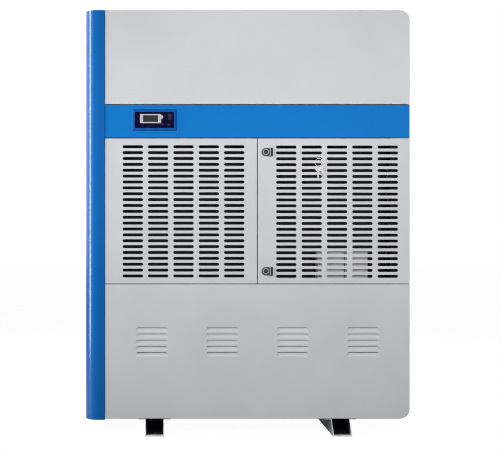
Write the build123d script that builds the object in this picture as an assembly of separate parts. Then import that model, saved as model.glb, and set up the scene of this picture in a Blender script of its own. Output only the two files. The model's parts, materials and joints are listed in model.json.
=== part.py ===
from build123d import *
import os
from math import cos, radians, sin, tan

# A commercial floor-standing dehumidifier: a folded-steel cabinet on two skid rails, with a blue corner
# pillar and control band, slotted return-air grilles, a lockable service door and a louvred machine bay.
# Millimetres. X runs right seen from the front, Y runs back, Z runs up. The origin is on the floor under
# the middle of the cabinet.

# ---- Cabinet -------------------------------------------------------------------------------------
cabinet_width = 1240.0
cabinet_depth = 460.0
total_height = 1620.0
sheet = 1.5                 # cabinet and front panel steel
corner_radius = 38.0        # rolled corners along the right side, top and bottom
fold_radius = 2.5           # outside radius where a panel face turns into its flange
seam = 2.5                  # gap between neighbouring front panels
panel_depth = 20.0          # depth of a front panel's flanges
shell_gap = 2.0             # gap between the front panels and the shell behind them
lower_height = 515.0        # machine bay panel
middle_height = 558.0       # grille and door
band_height = 128.0         # blue control band
grille_panel_width = 584.0  # left grille panel, from the pillar to the door seam

# ---- Corner pillar -------------------------------------------------------------------------------
pillar_width = 74.0
pillar_depth = 60.0
pillar_nose = 50.0
pillar_proud = 2.0
pillar_drop = 4.0
pillar_wall = 2.0
pillar_gap = 1.0
cap_thickness = 3.0

# ---- Skid rails ----------------------------------------------------------------------------------
rail_height = 58.0
rail_width = 72.0
rail_wall = 4.0
rail_inset = 265.0          # cabinet's side to a rail's middle
rail_rake = 52.0            # how far the foot of each raked end stands out past its top
rail_flange = 25.0
rail_flange_thickness = 3.0
anchor_radius = 7.0
anchor_inset = 50.0
rail_bolt_radius = 5.0
rail_bolt_head = 16.0       # across flats
rail_bolt_head_height = 6.4
rail_bolt_inset = 50.0      # from the rail's top end
hole_clearance = 0.25

# ---- Inner frame ---------------------------------------------------------------------------------
post_width = 30.0
post_wall = 2.0
centre_post_width = 40.0
centre_post_box = 22.0      # width of the post's closed part; the rest is the lip that the cams catch
deck_sheet = 2.0
deck_flange = 25.0
base_flange = 40.0
shell_tail = 6.0            # flat run of the rolled side panel past its corner arc

# ---- Return-air slots ----------------------------------------------------------------------------
slot_length = 78.0
slot_height = 11.5
slot_columns = 5
slot_rows = 23
slot_column_pitch = 96.9
slot_row_pitch = 22.45
slot_centre_above_panel = 277.75   # slot field centre above the middle panels' lower edge
left_field_offset = 8.9            # field centre right of the left panel's middle
door_field_offset = 13.2           # field centre right of the door's middle
door_field_drop = 1.2              # the door's slots sit this much lower than the left panel's

# ---- Pressed louvres -----------------------------------------------------------------------------
louvre_groups = 4
louvre_group_pitch = 269.4
louvres_per_group = 5
louvre_pitch = 23.6
louvre_top_above_base = 349.0
louvre_width = 112.0
louvre_foot_width = 126.0
louvre_height = 17.0
louvre_depth = 6.5

# ---- Service door --------------------------------------------------------------------------------
door_depth = 18.5
hinge_inset_x = 9.0         # pin axis in from the cabinet's right side
hinge_inset_y = 8.0         # pin axis back from the front face
hinge_pin_radius = 3.0
hinge_pin_length = 9.0
running_gap = 0.05
hinge_leaf = 1.5
hinge_leaf_width = 16.0

# ---- Locks ---------------------------------------------------------------------------------------
lock_inset = 31.3           # lock axis right of the door seam
lock_edge_upper = 53.5      # lock axis below the band seam
lock_edge_lower = 49.5      # lock axis above the lower seam
lock_plate_radius = 15.5
lock_plate_reach = 27.0     # lock axis to the end of the thumb wing
lock_plate_thickness = 4.0
lock_wing_height = 17.0
lock_wing_foot = 12.0       # lock axis to the wing's left foot
lock_crest_left = 15.5
lock_crest_right = 18.5
lock_core_radius = 4.6
lock_core_height = 3.5
lock_groove_radius = 7.2    # ring groove between the core and the raised rim
lock_groove_depth = 2.5
lock_rim_radius = 12.0
lock_keyway = 2.2
lock_bush_radius = 9.5
lock_bush_flange = 12.0
lock_bush_flange_thickness = 1.2
lock_spindle_radius = 6.0
lock_face_gap = 0.3
cam_thickness = 2.0
cam_width = 13.0
cam_reach = 27.0
cam_clearance = 1.5

# ---- Keys ----------------------------------------------------------------------------------------
key_ring_radius = 16.0
key_wire_radius = 0.9
key_bar_column = 1          # and this slot column, counted from the left
key_ring_off_column = 25.7  # ring centre right of that column's middle
key_bar_row = 2             # the ring goes round the bar under this slot row, counted from the top
key_ring_twist = 45.0       # the ring's plane, turned from straight out of the panel
key_ring_reach = 10.88      # ring centre in front of the bar, along its plane
key_ring_sag = 2.64         # ring centre below the bar's middle, where the ring rests on the grille
key_thickness = 1.6
key_hole_radius = 2.6
key_bow_radius = 11.5
key_blade_width = 7.0
key_blade_length = 38.0
key_play = 0.65             # between the ring and a key's hole, and between the two keys
key_lean = 34.0             # the front key's lean to the right

# ---- Controller ----------------------------------------------------------------------------------
bezel_width = 172.0
bezel_height = 84.0
bezel_left = 104.0          # right of the pillar's inner edge
bezel_above_band = 27.0
bezel_border = 11.0
bezel_proud = 6.0
overlay_recess = 3.0        # overlay face behind the bezel face
overlay_thickness = 1.5
display_width = 81.0
display_height = 35.0
display_left = 31.0         # from the bezel's left edge
display_above = 29.5        # from the bezel's lower edge
display_proud = 1.2
window_width = 57.0
window_height = 25.6
window_recess = 0.6
button_proud = 1.4
button_gap = 0.3
button_travel = 1.0
button_stem = 6.0
board_thickness = 1.6
board_gap = 8.0             # overlay's back to the board

# ---- Air path and coils --------------------------------------------------------------------------
filter_thickness = 12.0
filter_frame_bar = 18.0
filter_y = -136.0
filter_gap = 0.5
filter_seat = 10.0
filter_media_thickness = 4.0
guide_wall = 1.5
guide_end_gap = 0.5         # between the guides and the fan deck's flange
coil_depth = 44.0
evaporator_y = -96.0
condenser_y = -32.0
coil_from_left = 120.0
coil_from_right = 80.0
coil_bottom_above_deck = 27.0
coil_top_below_deck = 26.0
coil_plate = 2.0
coil_skin = 3.0
coil_tube_radius = 4.8
coil_tube_pitch = 50.0
pan_wall = 1.5
pan_height = 24.0
pan_margin = 7.0
drain_radius = 10.0
drain_wall = 1.5
drain_outside_coil = 31.0    # drain centre beyond the coil's left end
drain_drop = 155.0
drain_stub = 30.0
spigot_radius = 14.0
spigot_depth = 12.0
spigot_flange = 20.0
spigot_flange_thickness = 4.0

# ---- Blowers -------------------------------------------------------------------------------------
blower_offset = 300.0       # blower centre from the cabinet middle
blower_width = 210.0
blower_wall = 1.5
volute_start = 130.0
volute_growth = 18.0
volute_y = -40.0
volute_floor_gap = 14.0
blower_foot = 24.0
wheel_radius = 108.0
wheel_width = 186.0
wheel_blades = 30
blade_chord = 18.0
blade_thickness = 1.6
wheel_ring = 3.0
wheel_hub_radius = 26.0
inlet_radius = 92.0
shaft_radius = 10.0
motor_radius = 76.0
motor_length = 190.0
motor_foot_width = 150.0
outlet_margin = 6.0
outlet_bar = 4.0
outlet_bar_pitch = 16.0
outlet_grille_depth = 12.0
outlet_screw_radius = 3.0
outlet_screw_margin = 14.0

# ---- Electrical box ------------------------------------------------------------------------------
box_left = 273.0
box_right = 464.0
box_height = 108.0
box_front_setback = 27.0
box_depth = 58.0
box_wall = 1.5
box_split = 375.0
box_split_gap = 3.0

# ---- Machine bay ---------------------------------------------------------------------------------
compressor_from_right = 290.0
compressor_y = 40.0
compressor_radius = 92.0
compressor_height = 330.0
compressor_wall = 12.0
compressor_foot = 250.0
compressor_foot_thickness = 5.0
mount_radius = 16.0
mount_height = 22.0
vessel_wall = 4.0
accumulator_from_right = 120.0
accumulator_radius = 50.0
accumulator_height = 290.0
receiver_from_right = 510.0
receiver_radius = 55.0
receiver_height = 280.0
vessel_y = 60.0
vessel_leg = 30.0
vessel_leg_radius = 8.0
discharge_radius = 6.35
suction_radius = 11.0
liquid_radius = 4.75
pipe_hole_clearance = 4.0
pipe_layer = 30.0           # from one crossing line under the deck to the next
liquid_offset = 16.0        # from the other upright pipes towards the coil
riser_gap = 6.0             # between the coils' return bends and the upright pipes
gland_radius = 10.0
gland_wall = 4.0
gland_flange = 18.0
gland_from_left = 320.0
gland_z = 200.0
screw_radius = 3.0
screw_head_radius = 6.0
screw_head_height = 2.2
screw_inset = 14.0

# ---- Places worked out from the sizes ------------------------------------------------------------
left = -cabinet_width / 2
right = cabinet_width / 2
front = -cabinet_depth / 2
back = cabinet_depth / 2
bottom = rail_height
rail_spread = cabinet_width - 2 * rail_inset
top = total_height
shell_front = front + panel_depth + shell_gap
frame_front = front + panel_depth
pillar_right = left + pillar_width
pillar_front = front - pillar_proud
pillar_back = pillar_front + pillar_depth
panel_left = pillar_right + pillar_gap
seam_x = pillar_right + grille_panel_width
seam_low = bottom + lower_height
seam_band = seam_low + middle_height
seam_brow = seam_band + band_height
inner_left = left + pillar_gap + sheet
inner_back = back - sheet
coil_left = left + coil_from_left
coil_right = right - coil_from_right
drain_x = coil_left - drain_outside_coil
compressor_x = right - compressor_from_right
accumulator_x = right - accumulator_from_right
receiver_x = right - receiver_from_right
gland_x = left + gland_from_left
post_right_x1 = right - corner_radius - 2.0
post_right_x0 = post_right_x1 - post_width
post_left_x0 = pillar_right
post_left_x1 = post_left_x0 + post_width
base_top = bottom + deck_sheet
mid_deck_top = seam_low + deck_sheet
fan_deck_bottom = seam_band + deck_sheet
fan_deck_top = fan_deck_bottom + deck_sheet


# ---- Helpers -------------------------------------------------------------------------------------
TURN = {"x": Rot(0, 90, 0), "y": Rot(-90, 0, 0), "z": Rot(0, 0, 0)}


def block(x0, x1, y0, y1, z0, z1):
    """A box between two opposite corners."""
    middle = Pos((x0 + x1) / 2, (y0 + y1) / 2, (z0 + z1) / 2)
    return middle * Box(x1 - x0, y1 - y0, z1 - z0)


def rod(x, y, z, radius, length, axis="z"):
    """A round bar that starts at a point and runs along one axis."""
    base = (Align.CENTER, Align.CENTER, Align.MIN)
    return Pos(x, y, z) * TURN[axis] * Cylinder(radius, length, align=base)


def tube(x, y, z, radius, wall, length, axis="z"):
    """A round tube, open at both ends."""
    return rod(x, y, z, radius, length, axis) - rod(x, y, z, radius - wall, length, axis)


def elevation(x0, x1, z0, z1):
    """A rectangle seen from the front."""
    return Pos((x0 + x1) / 2, (z0 + z1) / 2) * Rectangle(x1 - x0, z1 - z0)


def depthwise(sketch, y0, y1):
    """Extrude a front-elevation sketch from y0 back to y1."""
    return extrude(Plane.XZ.offset(-y0) * sketch, amount=-(y1 - y0))


def sideways(sketch, x0, x1):
    """Extrude a side-elevation sketch (Y, Z) from x0 to x1."""
    return extrude(Plane.YZ.offset(x0) * sketch, amount=x1 - x0)


def upright(sketch, z0, z1):
    """Extrude a plan sketch (X, Y) from z0 to z1."""
    return extrude(Plane.XY.offset(z0) * sketch, amount=z1 - z0)


def group(shapes):
    """Several separate solids kept in one node."""
    return Compound([solid for shape in shapes for solid in shape.solids()])


def cabinet_outline():
    """The cabinet seen from the front, with its two rolled right-hand corners."""
    sketch = elevation(left, right, bottom, top)
    corners = sketch.vertices().sort_by(Axis.X)[-2:]
    return fillet(corners, corner_radius)


def pan(x0, x1, z0, z1, depth=panel_depth):
    """A front panel: a face sheet folded back into a flange all round."""
    sketch = elevation(x0, x1, z0, z1) & cabinet_outline()
    body = depthwise(sketch, front, front + depth)
    face_edges = body.faces().sort_by(Axis.Y)[0].edges()
    body = fillet(face_edges, fold_radius)
    pocket = offset(sketch, -sheet, kind=Kind.INTERSECTION)
    return body - depthwise(pocket, front + sheet, front + depth)


def box_tube(x0, x1, y0, y1, z0, z1, axis, wall=post_wall):
    """A rectangular steel tube along one axis."""
    trim = {"x": (0, wall, wall), "y": (wall, 0, wall), "z": (wall, wall, 0)}[axis]
    bore = block(x0 + trim[0], x1 - trim[0], y0 + trim[1], y1 - trim[1], z0 + trim[2], z1 - trim[2])
    return block(x0, x1, y0, y1, z0, z1) - bore


def hexagon(x, y, z, across_flats, length):
    """A hexagon head or nut standing on a point."""
    return Pos(x, y, z) * extrude(RegularPolygon(across_flats / 2, 6, major_radius=False), amount=length)


# ---- Skid rails ----------------------------------------------------------------------------------
rail_top_back = back - shell_gap
rail_floor_back = rail_top_back + rail_rake
anchor_y = rail_floor_back - anchor_inset
rail_bolt_y = rail_top_back - rail_bolt_inset
rail_bolt_x = (rail_width + rail_flange) / 2 + 1.0


def foot_rail(x):
    """A hat-section skid rail, open upwards inside, with raked ends and two anchor holes."""
    side = make_face(Polyline(
        (-rail_floor_back, 0), (rail_floor_back, 0), (rail_top_back, rail_height),
        (-rail_top_back, rail_height), close=True))
    channel = sideways(side, x - rail_width / 2, x + rail_width / 2)
    inside = rail_width / 2 - rail_wall
    channel -= block(x - inside, x + inside, -rail_floor_back, rail_floor_back, rail_wall, rail_height)
    for way in (-1, 1):
        inner, outer = sorted((x + way * rail_width / 2, x + way * (rail_width / 2 + rail_flange)))
        channel += block(inner, outer, -rail_top_back, rail_top_back,
                         rail_height - rail_flange_thickness, rail_height)
        for end in (-1, 1):
            channel -= rod(x + way * rail_bolt_x, end * rail_bolt_y, rail_height - rail_flange_thickness,
                           rail_bolt_radius + hole_clearance, rail_flange_thickness)
    for end in (-1, 1):
        channel -= rod(x, end * anchor_y, 0, anchor_radius, rail_wall)
    return channel


def rail_bolt_places():
    return [(side * rail_spread / 2 + way * rail_bolt_x, end * rail_bolt_y)
            for side in (-1, 1) for way in (-1, 1) for end in (-1, 1)]


def rail_bolts():
    """Bolts up through the rail flanges into nuts on the base pan."""
    flange_bottom = rail_height - rail_flange_thickness
    solids = []
    for x, y in rail_bolt_places():
        bolt = hexagon(x, y, flange_bottom - rail_bolt_head_height, rail_bolt_head, rail_bolt_head_height)
        bolt += rod(x, y, flange_bottom, rail_bolt_radius, base_top - flange_bottom)
        bolt += hexagon(x, y, base_top, rail_bolt_head, rail_bolt_head_height)
        solids.append(bolt)
    return group(solids)


# ---- Shell ---------------------------------------------------------------------------------------
tail_x = right - corner_radius - shell_tail


def floor_plan(x0, x1, y0, y1):
    """A plan rectangle notched round the corner pillar."""
    plan = Pos((x0 + x1) / 2, (y0 + y1) / 2) * Rectangle(x1 - x0, y1 - y0)
    notch = Pos((left + pillar_right) / 2, (pillar_front + pillar_back) / 2)
    return plan - notch * Rectangle(pillar_width + 2 * pillar_gap, pillar_depth + 2 * pillar_gap)


def base_pan():
    """The machine floor: a tray with its edges turned up, drilled for the rail bolts."""
    plan = floor_plan(inner_left, tail_x, shell_front, inner_back)
    tray = upright(plan, bottom, bottom + base_flange)
    tray -= upright(offset(plan, -deck_sheet, kind=Kind.INTERSECTION), base_top, bottom + base_flange)
    for x, y in rail_bolt_places():
        tray -= rod(x, y, bottom, rail_bolt_radius + hole_clearance, deck_sheet)
    return tray


def left_side_panel():
    """The flat left side, behind the pillar."""
    outer = left + pillar_gap
    panel = block(outer, outer + sheet, pillar_back + pillar_gap, inner_back, bottom, top - sheet)
    lip = block(outer, outer + base_flange / 2, pillar_back + pillar_gap,
                pillar_back + pillar_gap + sheet, bottom + base_flange + sheet, top - base_flange)
    return panel + lip


def right_side_panel():
    """The right side, rolled round its top and bottom corners."""
    outline = cabinet_outline()
    skin = outline - offset(outline, -sheet, kind=Kind.INTERSECTION)
    skin &= elevation(tail_x, right, bottom, top)
    return depthwise(skin, shell_front, inner_back)


def outlet_window(side):
    """Plan limits of a blower's outlet: x0, x1, y0, y1."""
    centre = side * blower_offset
    half = blower_width / 2 - blower_wall
    y0 = volute_y + outlet_margin
    y1 = volute_y + volute_start + 3 * volute_growth - blower_wall
    return centre - half, centre + half, y0, y1


def outlet_screw_places(side):
    x0, x1, y0, y1 = outlet_window(side)
    return [(x, y) for x in (x0 - outlet_screw_margin, x1 + outlet_screw_margin)
            for y in (y0 - outlet_screw_margin, y1 + outlet_screw_margin)]


def top_panel():
    """The flat top, with two air outlets and four duct screw holes round each."""
    lid = upright(floor_plan(left + pillar_gap, tail_x, shell_front, inner_back), top - sheet, top)
    for side in (-1, 1):
        x0, x1, y0, y1 = outlet_window(side)
        lid -= block(x0, x1, y0, y1, top - sheet, top)
        for x, y in outlet_screw_places(side):
            lid -= rod(x, y, top - sheet, outlet_screw_radius, sheet)
    return lid


def outlet_grilles():
    """A bar grille set flush in each outlet."""
    solids = []
    for side in (-1, 1):
        x0, x1, y0, y1 = outlet_window(side)
        z0, z1 = top - outlet_grille_depth, top
        frame = block(x0, x1, y0, y1, z0, z1)
        inside = block(x0 + outlet_bar, x1 - outlet_bar, y0 + outlet_bar, y1 - outlet_bar, z0, z1)
        grille = frame - inside
        count = int((y1 - y0 - outlet_bar) / outlet_bar_pitch)
        pitch = (y1 - y0 - outlet_bar) / count
        for index in range(1, count):
            y = y0 + index * pitch
            grille += block(x0 + outlet_bar, x1 - outlet_bar, y, y + outlet_bar, z0, z1)
        solids.append(grille)
    return group(solids)


def back_panel(z0, z1):
    """Half of the back, cut to the cabinet's outline."""
    return depthwise(elevation(left + pillar_gap, right, z0, z1) & cabinet_outline(), inner_back, back)


def back_screw_places():
    """Screws down the edges of both back panels."""
    places = []
    for z0, z1 in ((bottom, seam_low), (seam_low, top)):
        rows = 4
        low, high = z0 + corner_radius, z1 - corner_radius
        for index in range(rows):
            z = low + index * (high - low) / (rows - 1)
            places += [(left + pillar_gap + screw_inset, z), (post_right_x0 + post_width / 2, z)]
    return places


def back_panel_with_holes(z0, z1, holes):
    panel = back_panel(z0, z1)
    for x, z in back_screw_places():
        if z0 < z < z1:
            panel -= rod(x, inner_back, z, screw_radius + hole_clearance, sheet, "y")
    for x, z, radius in holes:
        panel -= rod(x, inner_back, z, radius, sheet, "y")
    return panel


def back_panel_screws():
    """Pan-head screws through the back panels."""
    solids = []
    for x, z in back_screw_places():
        screw = rod(x, back, z, screw_head_radius, screw_head_height, "y")
        screw += rod(x, inner_back, z, screw_radius, sheet, "y")
        solids.append(screw)
    return group(solids)


# ---- Corner pillar -------------------------------------------------------------------------------
def pillar_plan():
    """The pillar seen from above: a box with one large nose radius at the front left."""
    plan = Pos((left + pillar_right) / 2, (pillar_front + pillar_back) / 2)
    sketch = plan * Rectangle(pillar_width, pillar_depth)
    nose = sketch.vertices().sort_by(Axis.X)[:2].sort_by(Axis.Y)[0]
    return fillet(nose, pillar_nose)


def corner_pillar():
    plan = pillar_plan()
    shell = upright(plan, bottom - pillar_drop, top)
    return shell - upright(offset(plan, -pillar_wall), bottom - pillar_drop, top)


def pillar_caps():
    """Flush plugs in the pillar's two ends."""
    plug = offset(pillar_plan(), -pillar_wall)
    low = bottom - pillar_drop
    return group([upright(plug, low, low + cap_thickness), upright(plug, top - cap_thickness, top)])


# ---- Front panels --------------------------------------------------------------------------------
half_seam = seam / 2
slot_middle = seam_low + slot_centre_above_panel
left_panel_x = (panel_left + seam_x) / 2
door_x = (seam_x + right) / 2


def slot_field(x, drop=0.0):
    """The obround return-air slots, as one front-elevation sketch."""
    grid = GridLocations(slot_column_pitch, slot_row_pitch, slot_columns, slot_rows)
    slots = Sketch() + grid * SlotOverall(slot_length, slot_height)
    return Pos(x, slot_middle - drop) * slots


def bar_height(row):
    """Height of the middle of the door's bar under a slot row, counted from the top."""
    return slot_middle - door_field_drop + ((slot_rows - 1) / 2 - row - 0.5) * slot_row_pitch


def louvre_wedge(x, z_top, wall):
    """A louvre's pressed wedge, deepest at its top; wall is the steel left round it."""
    depth, height = louvre_depth + wall, louvre_height + wall
    side = make_face(Polyline((front, z_top), (front + depth, z_top), (front, z_top - height), close=True))
    wedge = sideways(side, x - louvre_foot_width, x + louvre_foot_width)
    head, foot = louvre_width / 2 + wall, louvre_foot_width / 2 + wall
    outline = make_face(Polyline(
        (x - head, z_top), (x + head, z_top), (x + foot, z_top - height), (x - foot, z_top - height),
        close=True))
    return wedge & depthwise(outline, front, front + depth)


def lower_front_panel():
    """The machine bay cover, with groups of louvres pressed inwards and open at their tops."""
    panel = pan(panel_left, right, bottom, seam_low - half_seam)
    middle = (panel_left + right) / 2
    walls, cuts = [], []
    for column in range(louvre_groups):
        x = middle + (column - (louvre_groups - 1) / 2) * louvre_group_pitch
        for row in range(louvres_per_group):
            z = bottom + louvre_top_above_base - row * louvre_pitch
            walls.append(louvre_wedge(x, z, sheet) & block(left, right, front + sheet / 2, back, bottom, top))
            cuts.append(louvre_wedge(x, z, 0.0))
    return panel + walls - cuts


def front_top_panel():
    return pan(panel_left, right, seam_brow + half_seam, top)


bezel_x0 = pillar_right + bezel_left
bezel_x1 = bezel_x0 + bezel_width
bezel_z0 = seam_band + bezel_above_band
bezel_z1 = bezel_z0 + bezel_height


def control_band():
    """The blue band, cut for the controller."""
    panel = pan(panel_left, right, seam_band + half_seam, seam_brow - half_seam)
    rim = bezel_border / 2
    return panel - block(bezel_x0 + rim, bezel_x1 - rim, front, front + sheet, bezel_z0 + rim, bezel_z1 - rim)


def grille_panel_left():
    panel = pan(panel_left, seam_x - half_seam, seam_low + half_seam, seam_band - half_seam)
    return panel - depthwise(slot_field(left_panel_x + left_field_offset), front, front + sheet)


# ---- Service door --------------------------------------------------------------------------------
hinge_x = right - hinge_inset_x
hinge_y = front + hinge_inset_y
lock_x = seam_x + lock_inset
lock_heights = {"upper": seam_band - lock_edge_upper, "lower": seam_low + lock_edge_lower}
door_low = seam_low + half_seam
door_high = seam_band - half_seam


def service_door():
    """The slotted door, bored for its locks and for the hinge pins in its top and bottom flanges."""
    door = pan(seam_x + half_seam, right, door_low, door_high, door_depth)
    door -= depthwise(slot_field(door_x + door_field_offset, door_field_drop), front, front + sheet)
    for z in lock_heights.values():
        door -= rod(lock_x, front, z, lock_bush_radius, sheet, "y")
    for z in (door_low, door_high - sheet):
        door -= rod(hinge_x, hinge_y, z, hinge_pin_radius + running_gap, sheet)
    return door


def door_hinges():
    """Two hinge leaves in the seams above and below the door, each with its pin."""
    solids = []
    for level, way in ((seam_low, 1), (seam_band, -1)):
        z0, z1 = level - hinge_leaf / 2, level + hinge_leaf / 2
        x1 = hinge_x + hinge_leaf_width / 2 - 1.0
        leaf = block(post_right_x0, x1, hinge_y - hinge_leaf_width / 4, frame_front, z0, z1)
        leaf += rod(hinge_x, hinge_y, level if way > 0 else level - hinge_pin_length,
                    hinge_pin_radius, hinge_pin_length)
        solids.append(leaf)
    return group(solids)


# ---- Locks ---------------------------------------------------------------------------------------
cam_y = frame_front + deck_sheet + cam_clearance


def lock_bushes():
    """Threaded bushes fixed in the door, in which the lock spindles turn."""
    solids = []
    for z in lock_heights.values():
        bush = rod(lock_x, front, z, lock_bush_radius, cam_y - 1.0 - front, "y")
        bush += rod(lock_x, front + sheet, z, lock_bush_flange, lock_bush_flange_thickness + 3.0, "y")
        bush -= rod(lock_x, front, z, lock_spindle_radius + running_gap, cam_y - front, "y")
        solids.append(bush)
    return group(solids)


def lock_knob(z):
    """A keyed thumb knob with its wing to the right, its spindle and its cam hanging down."""
    face = front - lock_face_gap
    plate_front = face - lock_plate_thickness
    plate = Pos(lock_x, z) * Circle(lock_plate_radius)
    plate += elevation(lock_x, lock_x + lock_plate_reach, z - lock_plate_radius, z + lock_plate_radius)
    knob = depthwise(plate, plate_front, face)
    core_front = plate_front - lock_core_height
    rim = Pos(lock_x, z) * (Circle(lock_rim_radius) - Circle(lock_groove_radius))
    knob += depthwise(rim, core_front, plate_front)
    groove = Pos(lock_x, z) * (Circle(lock_groove_radius) - Circle(lock_core_radius))
    knob -= depthwise(groove, plate_front, plate_front + lock_groove_depth)
    wing = make_face(Polyline(
        (lock_x + lock_wing_foot, plate_front), (lock_x + lock_plate_reach, plate_front),
        (lock_x + lock_crest_right, face - lock_wing_height),
        (lock_x + lock_crest_left, face - lock_wing_height), close=True))
    knob += upright(wing, z - lock_plate_radius, z + lock_plate_radius)
    knob += rod(lock_x, core_front, z, lock_core_radius, lock_core_height, "y")
    slot_x, slot_z = lock_keyway / 2, lock_core_radius / 2
    knob -= block(lock_x - slot_x, lock_x + slot_x, core_front, plate_front, z - slot_z, z + slot_z)
    knob += rod(lock_x, face, z, lock_spindle_radius, cam_y + cam_thickness - face, "y")
    arm = Pos(lock_x, z) * Circle(cam_width / 2)
    arm += elevation(lock_x - cam_width / 2, lock_x + cam_width / 2, z - cam_reach, z)
    return knob + depthwise(arm, cam_y, cam_y + cam_thickness)


# ---- Keys ----------------------------------------------------------------------------------------
key_bar_z = bar_height(key_bar_row)
key_bar_y = front + sheet / 2
twist = radians(key_ring_twist)
ring_column_x = door_x + door_field_offset + (key_bar_column - (slot_columns - 1) / 2) * slot_column_pitch
ring_x = ring_column_x + key_ring_off_column
ring_y = key_bar_y - key_ring_reach * cos(twist)
ring_z = key_bar_z - key_ring_sag
ring_foot_z = ring_z - key_ring_radius


def key_ring():
    """A split ring round one bar of the door's grille."""
    ring_plane = Plane(origin=(ring_x, ring_y, ring_z), x_dir=(0, 0, 1), z_dir=(cos(twist), sin(twist), 0))
    return ring_plane * Torus(key_ring_radius, key_wire_radius)


def key(blade_length):
    """A flat key hung from its hole at the origin, its blade downwards."""
    bow_z = -(key_bow_radius - key_hole_radius - 1.8)
    outline = Pos(0, bow_z) * Circle(key_bow_radius)
    blade_top = bow_z - key_bow_radius + 2.0
    half = key_blade_width / 2
    blade = make_face(Polyline(
        (-half, blade_top), (half, blade_top), (half, blade_top - blade_length * 0.35),
        (half - 2.0, blade_top - blade_length * 0.45), (half - 0.6, blade_top - blade_length * 0.55),
        (half - 2.2, blade_top - blade_length * 0.65), (half - 0.8, blade_top - blade_length * 0.75),
        (half - 2.0, blade_top - blade_length * 0.9), (0, blade_top - blade_length),
        (-half, blade_top - blade_length + half), close=True))
    outline += blade
    outline -= Circle(key_hole_radius)
    return depthwise(outline, -key_thickness / 2, key_thickness / 2)


def keys():
    """Two keys on the ring: one hangs straight, the other leans out to the right in front of it."""
    drop = key_hole_radius - key_wire_radius - key_play
    apart = key_thickness / 2 + key_play
    solids = []
    for way, lean, blade in ((1, 0.0, key_blade_length), (-1, -key_lean, 0.8 * key_blade_length)):
        hole = Pos(ring_x - way * apart * tan(twist), ring_y + way * apart, ring_foot_z - drop)
        solids.append(hole * Rot(0, lean, 0) * key(blade))
    return group(solids)


# ---- Controller ----------------------------------------------------------------------------------
bezel_face = front - bezel_proud
overlay_face = bezel_face + overlay_recess
overlay_back = overlay_face + overlay_thickness
window_x0 = bezel_x0 + display_left + (display_width - window_width) / 2
window_z0 = bezel_z0 + display_above + (display_height - window_height) / 2
display_face = overlay_face - display_proud

# name: x from the bezel's left edge, z from its lower edge, width, height (round where both are equal)
BUTTONS = {
    "button_power": (113.0, 53.0, 13.4, 13.4),
    "button_mode": (145.0, 54.0, 12.0, 22.0),
    "button_down": (118.0, 26.0, 10.5, 10.5),
    "button_up": (140.0, 24.0, 10.5, 10.5),
}


def button_sketch(name, grow=0.0):
    x, z, width, height = BUTTONS[name]
    place = Pos(bezel_x0 + x, bezel_z0 + z)
    if width == height:
        return place * Circle(width / 2 + grow)
    return place * RectangleRounded(width + 2 * grow, height + 2 * grow, 1.5 + grow)


def control_bezel():
    """The raised, bevelled frame that plugs into the band."""
    outer = elevation(bezel_x0, bezel_x1, bezel_z0, bezel_z1)
    body = depthwise(outer, bezel_face, front)
    face_edges = body.faces().sort_by(Axis.Y)[0].edges()
    body = chamfer(face_edges, bezel_proud - 1.0, bezel_border * 0.55)
    rim = bezel_border / 2
    body += block(bezel_x0 + rim, bezel_x1 - rim, front, front + board_gap,
                  bezel_z0 + rim, bezel_z1 - rim)
    window = offset(outer, -bezel_border, kind=Kind.INTERSECTION)
    return body - depthwise(window, bezel_face, front + board_gap)


def control_overlay():
    """The dark front plate, cut for the display and the keys."""
    plate = offset(elevation(bezel_x0, bezel_x1, bezel_z0, bezel_z1), -bezel_border, kind=Kind.INTERSECTION)
    for name in BUTTONS:
        plate -= button_sketch(name, button_gap)
    plate -= elevation(window_x0, window_x0 + window_width, window_z0, window_z0 + window_height)
    return depthwise(plate, overlay_face, overlay_back)


def display_frame():
    """The bright surround of the display."""
    x0, z0 = bezel_x0 + display_left, bezel_z0 + display_above
    ring = elevation(x0, x0 + display_width, z0, z0 + display_height)
    ring -= elevation(window_x0, window_x0 + window_width, window_z0, window_z0 + window_height)
    ring -= button_sketch("button_power", button_gap)
    return depthwise(ring, display_face, overlay_face)


def display_window():
    pane = elevation(window_x0, window_x0 + window_width, window_z0, window_z0 + window_height)
    return depthwise(pane, display_face + window_recess, overlay_back)


def button(name):
    """A key cap with a stem to its switch on the board."""
    cap = depthwise(button_sketch(name), overlay_face - button_proud, overlay_back + 0.5)
    x, z, width, height = BUTTONS[name]
    stem = min(width, height) / 4
    return cap + rod(bezel_x0 + x, overlay_back, bezel_z0 + z, stem, board_gap - button_travel - 0.2, "y")


def control_board():
    """The circuit board across the back of the bezel's hollow."""
    y0 = overlay_back + board_gap
    inset = bezel_border + 0.2
    return block(bezel_x0 + inset, bezel_x1 - inset, y0, y0 + board_thickness,
                 bezel_z0 + inset, bezel_z1 - inset)


# ---- Frame and decks -----------------------------------------------------------------------------
frame_back = frame_front + post_width
post_top = top - sheet


def frame_posts():
    """Four square uprights from the base pan to the top."""
    front_left = box_tube(post_left_x0, post_left_x1, frame_front, frame_back, base_top, post_top, "z")
    front_right = box_tube(post_right_x0, post_right_x1, frame_front, frame_back, base_top, post_top, "z")
    y1 = inner_back
    y0 = y1 - post_width
    back_left = box_tube(inner_left, inner_left + post_width, y0, y1, base_top, post_top, "z")
    back_right = box_tube(post_right_x0, post_right_x1, y0, y1, base_top, post_top, "z")
    floor = base_tray_clearance()
    return group([front_left - floor, front_right - floor, back_left - floor, back_right - floor])


def base_tray_clearance():
    """The base pan's upturned edges, which the post feet are notched to clear."""
    plan = floor_plan(inner_left, tail_x, shell_front, inner_back)
    rim = plan - offset(plan, -deck_sheet, kind=Kind.INTERSECTION)
    return upright(rim, bottom, bottom + base_flange)


def crossmember(z):
    return box_tube(post_left_x1, post_right_x0, frame_front, frame_back, z - post_width / 2,
                    z + post_width / 2, "x")


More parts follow.
